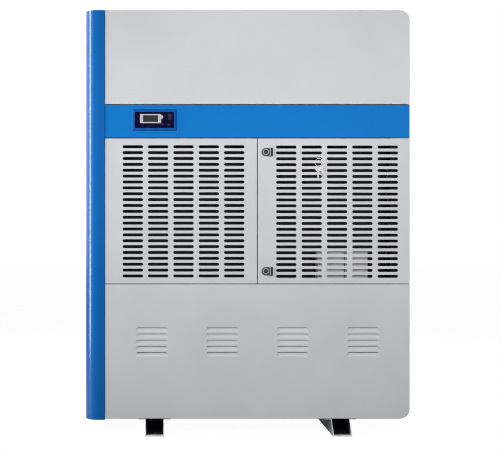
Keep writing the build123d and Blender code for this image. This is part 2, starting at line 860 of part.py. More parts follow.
def crossmembers():
    """Rails behind the three horizontal seams of the front."""
    return group([crossmember(seam_low), crossmember(seam_band), crossmember(seam_brow)])


def centre_post():
    """The upright behind the door seam: a closed box with a lip to its right for the cams."""
    z0, z1 = seam_low + post_width / 2, seam_band - post_width / 2
    x0 = seam_x - centre_post_width / 2
    box_x1 = x0 + centre_post_box
    post = box_tube(x0, box_x1, frame_front, frame_back, z0, z1, "z")
    lip = block(box_x1, x0 + centre_post_width, frame_front, frame_front + deck_sheet, z0, z1)
    return group([post, lip])


deck_x0 = inner_left + post_width
deck_x1 = post_right_x0
deck_front = frame_back
coil_z0 = mid_deck_top + coil_bottom_above_deck
coil_z1 = fan_deck_bottom - coil_top_below_deck
bend_reach = coil_plate + coil_tube_pitch / 2 + coil_tube_radius
riser_x = coil_right + bend_reach + suction_radius + riser_gap


def deck(z_top):
    """A folded shelf with its edges turned down, notched round the pillar."""
    plan = floor_plan(deck_x0, deck_x1, deck_front, inner_back)
    plate = upright(plan, z_top - deck_flange, z_top)
    under = offset(plan, -deck_sheet, kind=Kind.INTERSECTION)
    return plate - upright(under, z_top - deck_flange, z_top - deck_sheet)


def mid_deck():
    """The shelf between the machine bay and the coils, drilled for the drain."""
    hole = rod(drain_x, evaporator_y, mid_deck_top - deck_sheet, drain_radius + pipe_hole_clearance, deck_sheet)
    return deck(mid_deck_top) - hole


def fan_deck():
    """The shelf under the blowers, open at the back for the air."""
    shelf = deck(fan_deck_top)
    y0 = volute_y + volute_start / 2 + blower_foot + 4.0
    window = block(deck_x0 + deck_flange, deck_x1 - deck_flange, y0, inner_back - deck_flange,
                   fan_deck_top - deck_flange, fan_deck_top)
    return shelf - window


# ---- Filters -------------------------------------------------------------------------------------
filter_z0 = mid_deck_top + guide_wall + filter_gap
filter_z1 = coil_z1 - 4.0
guide_top = fan_deck_top - deck_sheet
filter_split = seam_x
filter_right_end = deck_x1 - deck_sheet - guide_end_gap
FILTER_SPANS = {"left": (post_left_x1, filter_split), "right": (filter_split, filter_right_end)}


def filter_guides():
    """A low and a high channel across the cabinet in which the filters stand."""
    half = filter_thickness / 2 + filter_gap
    y0, y1 = filter_y - half - guide_wall, filter_y + half + guide_wall
    x0, x1 = FILTER_SPANS["left"][0], FILTER_SPANS["right"][1]
    low = block(x0, x1, y0, y1, mid_deck_top, filter_z0 + filter_seat)
    low -= block(x0, x1, filter_y - half, filter_y + half, mid_deck_top + guide_wall, filter_z0 + filter_seat)
    high = block(x0, x1, y0, y1, filter_z1 - filter_seat, guide_top)
    high -= block(x0, x1, filter_y - half, filter_y + half, filter_z1 - filter_seat, guide_top - guide_wall)
    return group([low, high])


def filter_frame(side):
    x0, x1 = FILTER_SPANS[side]
    y0, y1 = filter_y - filter_thickness / 2, filter_y + filter_thickness / 2
    x0, x1, bar = x0 + filter_gap, x1 - filter_gap, filter_frame_bar
    frame = block(x0, x1, y0, y1, filter_z0, filter_z1)
    return frame - block(x0 + bar, x1 - bar, y0, y1, filter_z0 + bar, filter_z1 - bar)


def filter_media(side):
    x0, x1 = FILTER_SPANS[side]
    bar = filter_frame_bar + filter_gap
    half = filter_media_thickness / 2
    return block(x0 + bar, x1 - bar, filter_y - half, filter_y + half,
                 filter_z0 + filter_frame_bar, filter_z1 - filter_frame_bar)


# ---- Coils, pan and drain ------------------------------------------------------------------------
def coil_fins(y):
    """The fin pack's outside, as a hollow block with the pack's weight."""
    y0, y1, skin = y - coil_depth / 2, y + coil_depth / 2, coil_skin
    pack = block(coil_left, coil_right, y0, y1, coil_z0, coil_z1)
    return pack - block(coil_left + skin, coil_right - skin, y0 + skin, y1 - skin, coil_z0 + skin, coil_z1 - skin)


def coil_rows():
    count = int((coil_z1 - coil_z0) / coil_tube_pitch)
    start = (coil_z0 + coil_z1 - (count - 1) * coil_tube_pitch) / 2
    return [start + index * coil_tube_pitch for index in range(count)]


def coil_tubes():
    """End plates that carry the fin packs, and the return bends that stand out of them."""
    solids = []
    for y, foot in ((evaporator_y, mid_deck_top + pan_wall), (condenser_y, mid_deck_top)):
        y0, y1 = y - coil_depth / 2, y + coil_depth / 2
        for x0, face, way in ((coil_left - coil_plate, coil_left - coil_plate, -1),
                              (coil_right, coil_right + coil_plate, 1)):
            plate = block(x0, x0 + coil_plate, y0, y1, foot, coil_z1 + 4.0)
            rows = coil_rows()
            for index in range(0 if way < 0 else 1, len(rows) - 1, 2):
                middle = (rows[index] + rows[index + 1]) / 2
                bend = Plane(origin=(face, y, middle), x_dir=(0, 0, 1), z_dir=(0, 1, 0))
                loop = bend * Torus(coil_tube_pitch / 2, coil_tube_radius)
                outside = sorted((face, face + way * coil_tube_pitch))
                plate += loop & block(*outside, y0, y1, rows[index] - 10.0, rows[index + 1] + 10.0)
            solids.append(plate)
    return group(solids)


def drain_pan():
    """The tray under the evaporator, with a spout down through the deck."""
    x0, x1 = drain_x - drain_radius - 4.0, coil_right + coil_plate + pan_margin
    y0, y1 = evaporator_y - coil_depth / 2 - pan_margin, evaporator_y + coil_depth / 2 + pan_margin
    tray = block(x0, x1, y0, y1, mid_deck_top, mid_deck_top + pan_height)
    tray -= block(x0 + pan_wall, x1 - pan_wall, y0 + pan_wall, y1 - pan_wall,
                  mid_deck_top + pan_wall, mid_deck_top + pan_height)
    return tray - rod(drain_x, evaporator_y, mid_deck_top, drain_radius - drain_wall, pan_wall)


drain_z = mid_deck_top - drain_drop


def pipe(points, bend, radius, wall=1.0):
    """A hollow pipe along straight runs joined by bends."""
    route = FilletPolyline(*points, radius=bend)
    start = Plane(origin=route @ 0, z_dir=route % 0)
    solid = sweep(start * Circle(radius), path=route)
    return solid - sweep(start * Circle(radius - wall), path=route)


def drain_pipe():
    """From the pan's spout down to a bulkhead spigot in the back panel."""
    points = [(drain_x, evaporator_y, mid_deck_top), (drain_x, evaporator_y, drain_z),
              (drain_x, inner_back - spigot_depth, drain_z)]
    line = pipe(points, 3 * drain_radius, drain_radius, drain_wall)
    y0 = inner_back - spigot_depth
    spigot = rod(drain_x, y0, drain_z, spigot_radius, back - y0, "y")
    spigot += rod(drain_x, back, drain_z, spigot_flange, spigot_flange_thickness, "y")
    stub_y = back + spigot_flange_thickness
    spigot += rod(drain_x, stub_y, drain_z, drain_radius, drain_stub, "y")
    spigot -= rod(drain_x, y0, drain_z, drain_radius - drain_wall, stub_y + drain_stub - y0, "y")
    return group([line, spigot])


# ---- Blowers -------------------------------------------------------------------------------------
axle_z = fan_deck_top + volute_floor_gap + volute_start + 1.5 * volute_growth
axle_y = volute_y + volute_growth / 2
volute_z = axle_z - volute_growth / 2


def volute(shrink, z_mouth):
    """A blower scroll seen from the side: three growing quarter arcs and a throat straight up."""
    r1 = volute_start - shrink
    r2, r3 = r1 + volute_growth, r1 + 2 * volute_growth
    y, z, g, tongue = volute_y, volute_z, volute_growth, volute_y + 4.0 + shrink
    top_arc = CenterArc((y, z), r1, 90, 90)
    low_arc = CenterArc((y + g, z), r2, 180, 90)
    back_arc = CenterArc((y + g, z + g), r3, 270, 90)
    throat = Polyline((y + g + r3, z + g), (y + g + r3, z_mouth), (tongue, z_mouth), (tongue, z + r1), (y, z + r1))
    return make_face(top_arc + low_arc + back_arc + throat)


def blower_housings():
    """Two double-inlet scrolls that stand on the fan deck and blow up into the outlets."""
    mouth = top - outlet_grille_depth
    solids = []
    for side in (-1, 1):
        x0 = side * blower_offset - blower_width / 2
        x1 = x0 + blower_width
        shell = sideways(volute(0.0, mouth), x0, x1)
        shell -= sideways(volute(blower_wall, mouth + blower_wall), x0 + blower_wall, x1 - blower_wall)
        shell -= rod(x0, axle_y, axle_z, inlet_radius, blower_width, "x")
        for y in (volute_y - volute_start / 2, volute_y + volute_start / 2):
            for x in (x0, x1 - blower_foot):
                leg = block(x, x + blower_foot, y - blower_foot / 2, y + blower_foot / 2, fan_deck_top, axle_z)
                leg -= sideways(volute(0.0, mouth), x, x + blower_foot)
                leg -= rod(x, axle_y, axle_z, inlet_radius, blower_foot, "x")
                shell += max(leg.solids(), key=lambda piece: -piece.center().Z)
        solids.append(shell)
    return group(solids)


def blower_wheel(side):
    """A double-inlet wheel: centre disc, two end rings and forward-curved blades."""
    x = side * blower_offset
    x0 = x - wheel_width / 2
    wheel = rod(x - wheel_ring / 2, axle_y, axle_z, wheel_radius, wheel_ring, "x")
    inner = wheel_radius - blade_chord
    for start in (x0, x0 + wheel_width - wheel_ring):
        wheel += tube(start, axle_y, axle_z, wheel_radius, blade_chord, wheel_ring, "x")
    blade = Pos(inner + blade_chord / 2, 0) * Rot(0, 0, 38) * Rectangle(blade_chord * 0.95, blade_thickness)
    blades = Pos(axle_y, axle_z) * (Sketch() + PolarLocations(0, wheel_blades) * blade)
    wheel += sideways(blades, x0, x0 + wheel_width)
    return wheel + rod(x - wheel_hub_radius, axle_y, axle_z, wheel_hub_radius, 2 * wheel_hub_radius, "x")


def blower_rotor():
    """The motor's double-ended shaft with a wheel on each end."""
    reach = blower_offset + wheel_hub_radius
    shaft = rod(-reach, axle_y, axle_z, shaft_radius, 2 * reach, "x")
    return shaft + blower_wheel(-1) + blower_wheel(1)


def fan_motor():
    """The motor between the blowers, on a pedestal on the fan deck."""
    half = motor_length / 2
    body = rod(-half, axle_y, axle_z, motor_radius, motor_length, "x")
    ends = body.faces().filter_by(Axis.X).edges()
    body = fillet(ends, 10.0)
    foot = motor_foot_width / 2
    pedestal = block(-half * 0.8, half * 0.8, axle_y - foot, axle_y + foot, fan_deck_top, fan_deck_top + 5.0)
    for x in (-half * 0.7, half * 0.7 - 6.0):
        pedestal += block(x, x + 6.0, axle_y - foot * 0.8, axle_y + foot * 0.8, fan_deck_top, axle_z)
    body += pedestal
    for x0 in (-half - 6.0, half):
        body += rod(x0, axle_y, axle_z, shaft_radius + 12.0, 6.0, "x")
    return body - rod(-half - 6.0, axle_y, axle_z, shaft_radius + running_gap, motor_length + 12.0, "x")


# ---- Electrical box ------------------------------------------------------------------------------
box_y0 = frame_front + box_front_setback - panel_depth
box_z0 = seam_low + post_width / 2


def electrical_box():
    """An open-fronted box on the lower crossmember behind the door."""
    case = block(box_left, box_right, box_y0, box_y0 + box_depth, box_z0, box_z0 + box_height)
    return case - block(box_left + box_wall, box_right - box_wall, box_y0, box_y0 + box_depth - box_wall,
                        box_z0 + box_wall, box_z0 + box_height - box_wall)


def electrical_covers():
    """Two covers side by side on the box."""
    y0 = box_y0 - box_wall
    gap = box_split_gap / 2
    spans = ((box_left, box_split - gap), (box_split + gap, box_right))
    return group([block(x0, x1, y0, box_y0, box_z0, box_z0 + box_height) for x0, x1 in spans])


def contactors():
    """Contactors and a relay on a rail at the back of the box."""
    rear = box_y0 + box_depth - box_wall
    z = box_z0 + box_height / 2
    solids = [block(box_left + 12.0, box_right - 12.0, rear - 7.5, rear, z - 17.5, z + 17.5)]
    for index in range(3):
        x = box_left + 16.0 + index * 56.0
        solids.append(block(x, x + 44.0, rear - 46.0, rear - 7.5, z - 36.0, z + 36.0))
    return group(solids)


# ---- Machine bay ---------------------------------------------------------------------------------
compressor_z0 = base_top + mount_height
compressor_base = compressor_z0 + compressor_foot_thickness
compressor_top = compressor_base + compressor_height
compressor_feet = [(compressor_x + sx * compressor_foot * 0.42, compressor_y + sy * compressor_foot * 0.42)
                   for sx in (-1, 1) for sy in (-1, 1)]


def compressor():
    """A hermetic compressor: a domed shell on a square foot plate."""
    shell = rod(compressor_x, compressor_y, compressor_base, compressor_radius, compressor_height)
    shell = fillet(shell.faces().sort_by(Axis.Z)[-1].edges(), compressor_radius * 0.5)
    shell -= rod(compressor_x, compressor_y, compressor_base + compressor_wall,
                 compressor_radius - compressor_wall, compressor_height * 0.8)
    half = compressor_foot / 2
    foot = block(compressor_x - half, compressor_x + half, compressor_y - half, compressor_y + half,
                 compressor_z0, compressor_base)
    return shell + foot


def compressor_mounts():
    """Rubber mounts between the compressor's foot and the base pan."""
    return group([rod(x, y, base_top, mount_radius, mount_height) for x, y in compressor_feet])


def vessel(x, radius, height):
    """A closed pressure vessel on three short legs."""
    z0 = base_top + vessel_leg
    body = rod(x, vessel_y, z0, radius, height)
    body = fillet(body.edges().filter_by(GeomType.CIRCLE), radius * 0.45)
    body -= rod(x, vessel_y, z0 + radius * 0.5, radius - vessel_wall, height - radius)
    for turn in (90, 210, 330):
        reach = radius * 0.45
        lx, ly = x + reach * cos(radians(turn)), vessel_y + reach * sin(radians(turn))
        body += rod(lx, ly, base_top, vessel_leg_radius, vessel_leg + 2.0)
    return body


vessel_base = base_top + vessel_leg
accumulator_top = vessel_base + accumulator_height
receiver_top = vessel_base + receiver_height


def refrigerant_pipes():
    """Suction, discharge and liquid lines between the coils and the machine bay."""
    plate = coil_right + coil_plate
    low, high = coil_rows()[0], coil_rows()[-1]
    under = mid_deck_top - deck_flange
    suction_z, liquid_z, discharge_z = (under - layer * pipe_layer for layer in (1, 2, 3))
    liquid_x, liquid_y = riser_x - liquid_offset, condenser_y + coil_depth / 2
    suction = [(plate, evaporator_y, high), (riser_x, evaporator_y, high),
               (riser_x, evaporator_y, suction_z), (accumulator_x, evaporator_y, suction_z),
               (accumulator_x, vessel_y, suction_z), (accumulator_x, vessel_y, accumulator_top)]
    discharge = [(plate, condenser_y, high), (riser_x, condenser_y, high),
                 (riser_x, condenser_y, discharge_z), (compressor_x, condenser_y, discharge_z),
                 (compressor_x, compressor_y, discharge_z), (compressor_x, compressor_y, compressor_top)]
    liquid = [(plate, condenser_y, low), (liquid_x, condenser_y, low),
              (liquid_x, liquid_y, low), (liquid_x, liquid_y, liquid_z),
              (receiver_x, liquid_y, liquid_z), (receiver_x, vessel_y, liquid_z),
              (receiver_x, vessel_y, receiver_top)]
    return group([pipe(suction, 2 * suction_radius, suction_radius),
                  pipe(discharge, 2.5 * discharge_radius, discharge_radius),
                  pipe(liquid, 1.6 * liquid_radius, liquid_radius)])


def cable_gland():
    """The supply cable's gland in the lower back panel."""
    bore_outer = gland_radius + gland_wall
    body = rod(gland_x, inner_back - 12.0, gland_z, bore_outer, 12.0 + sheet, "y")
    body += rod(gland_x, back, gland_z, gland_flange, 6.0, "y")
    body += rod(gland_x, back + 6.0, gland_z, bore_outer + 1.0, 14.0, "y")
    return body - rod(gland_x, inner_back - 12.0, gland_z, gland_radius, 40.0, "y")


BACK_HOLES_LOW = [(drain_x, drain_z, spigot_radius + hole_clearance),
                  (gland_x, gland_z, gland_radius + gland_wall + hole_clearance)]


# ---- The nodes -----------------------------------------------------------------------------------
parts = {
    "foot_rail_left": foot_rail(-rail_spread / 2),
    "foot_rail_right": foot_rail(rail_spread / 2),
    "rail_bolts": rail_bolts(),
    "base_pan": base_pan(),
    "left_side_panel": left_side_panel(),
    "right_side_panel": right_side_panel(),
    "back_panel_upper": back_panel_with_holes(seam_low, top, []),
    "back_panel_lower": back_panel_with_holes(bottom, seam_low, BACK_HOLES_LOW),
    "back_panel_screws": back_panel_screws(),
    "top_panel": top_panel(),
    "outlet_grilles": outlet_grilles(),
    "corner_pillar": corner_pillar(),
    "pillar_caps": pillar_caps(),
    "front_top_panel": front_top_panel(),
    "control_band": control_band(),
    "grille_panel_left": grille_panel_left(),
    "service_door": service_door(),
    "lower_front_panel": lower_front_panel(),
    "frame_posts": frame_posts(),
    "crossmembers": crossmembers(),
    "centre_post": centre_post(),
    "door_hinges": door_hinges(),
    "mid_deck": mid_deck(),
    "fan_deck": fan_deck(),
    "drain_pan": drain_pan(),
    "drain_pipe": drain_pipe(),
    "evaporator_fins": coil_fins(evaporator_y),
    "condenser_fins": coil_fins(condenser_y),
    "coil_tubes": coil_tubes(),
    "filter_guides": filter_guides(),
    "filter_frame_left": filter_frame("left"),
    "filter_frame_right": filter_frame("right"),
    "filter_media_left": filter_media("left"),
    "filter_media_right": filter_media("right"),
    "electrical_box": electrical_box(),
    "electrical_covers": electrical_covers(),
    "contactors": contactors(),
    "compressor": compressor(),
    "compressor_mounts": compressor_mounts(),
    "accumulator": vessel(accumulator_x, accumulator_radius, accumulator_height),
    "receiver": vessel(receiver_x, receiver_radius, receiver_height),
    "refrigerant_pipes": refrigerant_pipes(),
    "cable_gland": cable_gland(),
    "control_bezel": control_bezel(),
    "control_overlay": control_overlay(),
    "display_frame": display_frame(),
    "display_window": display_window(),
    "control_board": control_board(),
    "lock_bushes": lock_bushes(),
    "lock_knob_upper": lock_knob(lock_heights["upper"]),
    "lock_knob_lower": lock_knob(lock_heights["lower"]),
    "key_ring": key_ring(),
    "keys": keys(),
    "blower_housings": blower_housings(),
    "fan_motor": fan_motor(),
    "blower_rotor": blower_rotor(),
}
for button_name in BUTTONS:
    parts[button_name] = button(button_name)

os.makedirs("parts", exist_ok=True)
for node, shape in parts.items():
    export_step(shape, f"parts/{node}.step")
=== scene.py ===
# %% [markdown]
# # A commercial dehumidifier
# The machine is a folded steel cabinet on two skid rails. This script loads its
# solids as a fixed frame, gives every one of them a finish, and adds what is too
# thin and too many for a solid model: the coils' fins. Rubbed edges, a mark of use,
# are part of the finishes. So are painted shade and painted highlights: on the lock
# heads' groove, rim and grip, inside the rails' channels and in the filter's weave.
# Everything is in metres, Z is up and the front faces -Y.

# %% Load the frame
import json
import math

import bmesh
import bpy
from mathutils import Matrix, Vector


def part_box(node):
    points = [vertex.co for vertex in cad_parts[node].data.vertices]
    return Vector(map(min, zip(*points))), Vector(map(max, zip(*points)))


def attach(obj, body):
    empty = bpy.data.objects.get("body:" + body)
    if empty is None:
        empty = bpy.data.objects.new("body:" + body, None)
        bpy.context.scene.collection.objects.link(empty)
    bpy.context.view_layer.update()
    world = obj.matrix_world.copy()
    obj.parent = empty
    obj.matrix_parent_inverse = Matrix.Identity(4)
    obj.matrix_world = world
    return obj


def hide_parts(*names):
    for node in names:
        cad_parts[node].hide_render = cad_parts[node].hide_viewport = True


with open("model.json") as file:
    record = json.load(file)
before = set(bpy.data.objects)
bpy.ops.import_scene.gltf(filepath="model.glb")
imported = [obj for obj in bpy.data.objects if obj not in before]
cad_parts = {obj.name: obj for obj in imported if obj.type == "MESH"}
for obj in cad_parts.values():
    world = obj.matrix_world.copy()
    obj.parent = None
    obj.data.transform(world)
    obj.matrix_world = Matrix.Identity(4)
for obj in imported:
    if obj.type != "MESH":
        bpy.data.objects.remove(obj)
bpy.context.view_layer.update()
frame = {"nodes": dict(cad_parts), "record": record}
nodes = frame["nodes"]

# %% [markdown]
# ## Where things are
# The finishes and the extra pieces are placed from the solids' own boxes, so that
# they follow when a size changes. Indices into a box would do, but a tiny helper
# that names its six sides reads better.

# %% Sides of a node's box
class Sides:
    """The six sides of a node's box, and its middle."""

    def __init__(self, node):
        low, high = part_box(node)
        self.left, self.front, self.bottom = low
        self.right, self.back, self.top = high
        self.middle = (low + high) / 2


roof = Sides("top_panel")
front_y = Sides("lower_front_panel").front
print(f"front face at y = {front_y:.4f} m, roof at z = {roof.top:.3f} m")

# %% [markdown]
# ## Camera
# The machine is seen straight on from a few metres, as for a catalogue. A long
# lens keeps the tall sides upright. The camera stands a little left of the middle
# at hand height, and the lens is shifted sideways so that the cabinet's front stays
# a true rectangle, as a view camera does with a house.

# %% Camera
camera_left = 0.3536
camera_distance = 4.0
camera_height = 0.791

eye = Vector((-camera_left, front_y - camera_distance, camera_height))
lens_data = bpy.data.cameras.new("catalogue_camera")
lens_data.lens = 75.35
lens_data.sensor_width = 36.0
lens_data.shift_x = 0.19
lens_data.shift_y = 0.004
camera = bpy.data.objects.new("catalogue_camera", lens_data)
camera.matrix_world = Matrix.Translation(eye) @ Matrix.Rotation(math.radians(90), 4, "X")
bpy.context.scene.collection.objects.link(camera)
bpy.context.scene.camera = camera
bpy.context.scene.view_settings.view_transform = "Standard"
bpy.context.scene.cycles.filter_width = 1.0
print("camera stands at", tuple(round(v, 3) for v in eye))

# %% [markdown]
# ## Shader maths as Python
# A finish is mostly arithmetic on textures. Wiring every Math node by hand is slow
# to write and hard to read, so `Value` wraps one output socket and overloads the
# usual operators: `0.5 + 0.2 * noise` adds its own Math nodes. A comparison gives a
# mask of 0 or 1, `*` is where two masks meet, and `|` is where either one is.

# %% A socket that can be added and multiplied
class Value:
    """One output socket, with Python's operators as Math nodes."""

    def __init__(self, tree, socket):
        self.tree, self.socket = tree, socket

    def _math(self, operation, *inputs):
        return self.tree.node("ShaderNodeMath", {"operation": operation}, dict(enumerate(inputs)))

    def __add__(self, other):
        return self._math("ADD", self, other)

    def __mul__(self, other):
        return self._math("MULTIPLY", self, other)

    def __sub__(self, other):
        return self._math("SUBTRACT", self, other)

    def __rsub__(self, other):
        return self._math("SUBTRACT", other, self)

    def __pow__(self, other):
        return self._math("POWER", self, other)

    def __gt__(self, other):
        return self._math("GREATER_THAN", self, other)

    def __lt__(self, other):
        return self._math("LESS_THAN", self, other)

    def __or__(self, other):
        return self._math("MAXIMUM", self, other)

    def __abs__(self):
        return self._math("ABSOLUTE", self)

    __radd__, __rmul__ = __add__, __mul__

    def clamped(self, low, high, to_low=0.0, to_high=1.0):
        """Maps low..high to to_low..to_high and holds the ends."""
        return self.tree.node("ShaderNodeMapRange", {"clamp": True},
                              {0: self, 1: low, 2: high, 3: to_low, 4: to_high})


print("a Value takes + - * ** > < | and abs()")

# %% [markdown]
# ## One way to make a node
# Every other node comes from the `node` method of `Tree`: its settings first, then
# its sockets, which take numbers, colours or links. Some settings change which
# sockets a node has, and that is why they come first. Materials and the room round
# the machine are both trees with one shader at their end.

# %% A tree of nodes
class Tree:
    """A node tree that ends in one shader."""

    def __init__(self, tree, shader):
        self.tree = tree
        self.shader = tree.nodes[shader]

    def put(self, socket, value):
        """Links a Value, or sets a number or a colour; an opaque alpha is added to a colour."""
        if isinstance(value, Value):
            self.tree.links.new(value.socket, socket)
            return
        wide = hasattr(socket.default_value, "__len__") and len(socket.default_value) == 4
        socket.default_value = (*value, 1.0) if wide and len(value) == 3 else value

    def set(self, socket, value):
        """Gives a socket of the shader its number, colour or link."""
        self.put(self.shader.inputs[socket], value)

    def node(self, kind, settings=None, inputs=None, output=0):
        """Adds a node and returns one of its outputs."""
        made = self.tree.nodes.new(kind)
        for name, value in (settings or {}).items():
            setattr(made, name, value)
        for name, value in (inputs or {}).items():
            self.put(made.inputs[name], value)
        return Value(self, made.outputs[output])


print("a Tree makes nodes and sets its shader's sockets")

# %% [markdown]
# ## What finishes have in common
# `Finish` is the tree of one material. Its patterns read Object coordinates, because
# the pieces sit at the origin with their place in their mesh: one metre in a pattern
# is one metre on the machine, and a pattern runs on from sheet to sheet.

# %% A material and its patterns
edge_radius = 0.002
edge_turn = (0.02, 0.25)


class Finish(Tree):
    """A material with one Principled shader, built from expressions."""

    def __init__(self, name, color, roughness, metallic=0.0):
        self.material = bpy.data.materials.new(name)
        self.material.use_nodes = True
        super().__init__(self.material.node_tree, "Principled BSDF")
        self.material.diffuse_color = (*color, 1.0)
        self.set("Base Color", color)
        self.set("Roughness", roughness)
        self.set("Metallic", metallic)

    def place(self, scale=(1, 1, 1), location=(0, 0, 0)):
        """Object coordinates, stretched or moved."""
        here = self.node("ShaderNodeTexCoord", output="Object")
        return self.node("ShaderNodeMapping", None,
                         {"Vector": here, "Scale": scale, "Location": location})

    def axes(self, centre=(0, 0, 0)):
        """Object X, Y and Z as three values, counted from a centre."""
        moved = self.place(location=[-side for side in centre])
        first = self.node("ShaderNodeSeparateXYZ", None, {0: moved})
        return [Value(self, output) for output in first.socket.node.outputs]

    def noise(self, scale, detail=2.0, roughness=0.5, stretch=(1, 1, 1)):
        """Smooth noise from 0 to 1; scale is in ripples a metre."""
        return self.node("ShaderNodeTexNoise", None,
                         {"Vector": self.place(stretch), "Scale": scale, "Detail": detail,
                          "Roughness": roughness})

    def mix(self, share, first, second):
        """A colour between two others."""
        return self.node("ShaderNodeMix", {"data_type": "RGBA"},
                         {0: share, 6: first, 7: second}, output=2)

    def bump(self, height, distance, strength):
        """Dents the surface by a height, without moving it."""
        self.set("Normal", self.node("ShaderNodeBump", None,
                                     {"Height": height, "Distance": distance,
                                      "Strength": strength}))

    def rubbed(self):
        """1 on outer edges, where hands and tools rub, fading inwards."""
        rounded = self.node("ShaderNodeBevel", {"samples": 4}, {"Radius": edge_radius})
        flat = self.node("ShaderNodeNewGeometry", output="Normal")
        turned = self.node("ShaderNodeVectorMath", {"operation": "DOT_PRODUCT"},
                           {0: rounded, 1: flat}, output="Value")
        return (1.0 - turned).clamped(*edge_turn)


def shade(color, times, plus=0.0):
    """A colour made lighter or darker, and never brighter than white."""
    return [min(1.0, channel * times + plus) for channel in color]


print("edges rub over", edge_radius * 1000, "mm")

# %% [markdown]
# ## Powder coat
# The grey sheets are powder coated: the powder melts into a skin with a faint
# orange-peel dimple, so reflections blur at two scales. A broad, weak noise keeps
# big flat sheets from looking like one digital colour, and edges that hands and
# trolleys meet are rubbed a little lighter. The blue and black lacquers are made the
# same way, with a low specular level, because their deep colour shows little sheen.

# %% Powder coat, grey and blue
cloud_ripples, grime_ripples = 3.0, 28.0
peel_ripples, swell_ripples = 420.0, 60.0
cloud_dark, cloud_light, worn_light = 0.96, 1.05, 1.12
lacquer_sheen = 0.12


def powder_coat(name, color, roughness, peel=0.00003):
    """Painted sheet metal with orange peel, faint clouds and rubbed edges."""
    coat = Finish(name, color, roughness)
    clouds = coat.noise(cloud_ripples, detail=3.0)
    grime = coat.noise(grime_ripples, detail=5.0, roughness=0.65)
    tone = coat.mix(clouds.clamped(0.3, 0.7), shade(color, cloud_dark), shade(color, cloud_light))
    wear = coat.rubbed() * grime.clamped(0.42, 0.62, 0.0, 0.5)
    coat.set("Base Color", coat.mix(wear, tone, shade(color, worn_light, 0.02)))
    coat.set("Roughness", roughness + 0.05 * grime - 0.02)
    dimples = coat.noise(peel_ripples, detail=1.0) + 0.4 * coat.noise(swell_ripples)
    coat.bump(dimples, peel, 0.6)
    return coat


grey_paint = powder_coat("grey_powder_coat", (0.575, 0.582, 0.602), 0.46)
blue_paint = powder_coat("blue_powder_coat", (0.004, 0.170, 0.525), 0.38)
# The pillar's lacquer is a darker copy of the band's blue: painted shade on the pillar's flat
# front.
pillar_paint = powder_coat("blue_pillar_lacquer", (0.004, 0.110, 0.385), 0.30)
white_paint = powder_coat("pale_box_paint", (0.80, 0.80, 0.815), 0.5)
# Black enamel also colours the frame parts and filter frames behind the grilles, where it is
# painted shade for the cabinet's dark inside.
black_enamel = powder_coat("black_enamel", (0.012, 0.012, 0.014), 0.42, peel=0.00006)
motor_enamel = powder_coat("slate_motor_enamel", (0.10, 0.12, 0.145), 0.42)
for lacquer in (blue_paint, pillar_paint, black_enamel):
    lacquer.set("Specular IOR Level", lacquer_sheen)
print("orange peel of", round(1000 / peel_ripples, 1), "mm")

# %% [markdown]
# ## The pillar's nose
# The corner pillar is one rolled sheet, and its rounded nose is wiped and polished
# by every passing sleeve. Two materials on one sheet would meet in a hard line, so
# a clear coat comes in over the last few centimetres at the left instead.

# %% Clear coat on the nose
nose_width = 0.034
nose_full = 0.55 * nose_width
from_left = pillar_paint.axes((Sides("corner_pillar").left, 0, 0))[0]
pillar_paint.set("Coat Weight", from_left.clamped(nose_full, nose_width, 1.0, 0.0))
pillar_paint.set("Coat Roughness", 0.22)
print("clear coat over the first", nose_width * 1000, "mm of the pillar")

# %% [markdown]
# ## Zinc-coated steel
# The rails, posts and decks are galvanised. Molten zinc freezes in flat crystals,
# the spangle, each tilted a little differently, so each cell reflects its own
# grey. A Voronoi texture gives every cell one random number; that number shifts
# both the colour and the roughness.

# %% Galvanised steel
zinc_grey = (0.60, 0.62, 0.64)
zinc_roughness, zinc_metallic = 0.42, 0.85
spangle, cell_share = 0.012, 0.6
crystal_dark, crystal_light = 0.80, 1.12
streak_ripples, pit_ripples = 14.0, 500.0


def zinc_sheet(name):
    """Hot-dip zinc with random cells, dull streaks and small pits, and its tone."""
    zinc = Finish(name, zinc_grey, zinc_roughness, zinc_metallic)
    cells = zinc.node("ShaderNodeTexVoronoi", {"feature": "F1"},
                      {"Vector": zinc.place(), "Scale": 1.0 / spangle}, output="Color")
    cell_tone = zinc.node("ShaderNodeSeparateColor", None, {0: cells})
    streaks = zinc.noise(streak_ripples, detail=4.0, stretch=(1, 1, 0.25))
    share = cell_tone * cell_share + streaks * (1.0 - cell_share)
    tone = zinc.mix(share, shade(zinc_grey, crystal_dark), shade(zinc_grey, crystal_light))
    zinc.set("Base Color", tone)
    zinc.set("Roughness", zinc_roughness - 0.08 + 0.16 * share)
    zinc.bump(zinc.noise(pit_ripples, detail=1.0), 0.00002, 0.5)
    return zinc, tone


galvanised, _ = zinc_sheet("galvanised_steel")
print("spangle of", spangle * 1000, "mm")

# %% [markdown]
# ## Skid rails
# The rails are the same sheet folded to a channel. Under the machine the channel's
# inside lies in shade, and that shade is painted into its colour: near black, except
# for the first centimetres at each end, where light reaches in. A mask does it:
# 1 between the channel's walls, above its floor and far enough from either end.

# %% Rails, black inside
inner_half = 0.0335
channel_floor = 0.002
# The painted shade fades in between these two distances from a rail's end; below is its colour.
unshaded, fully_shaded = 0.004, 0.035
painted_channel_shade = (0.010, 0.010, 0.012)


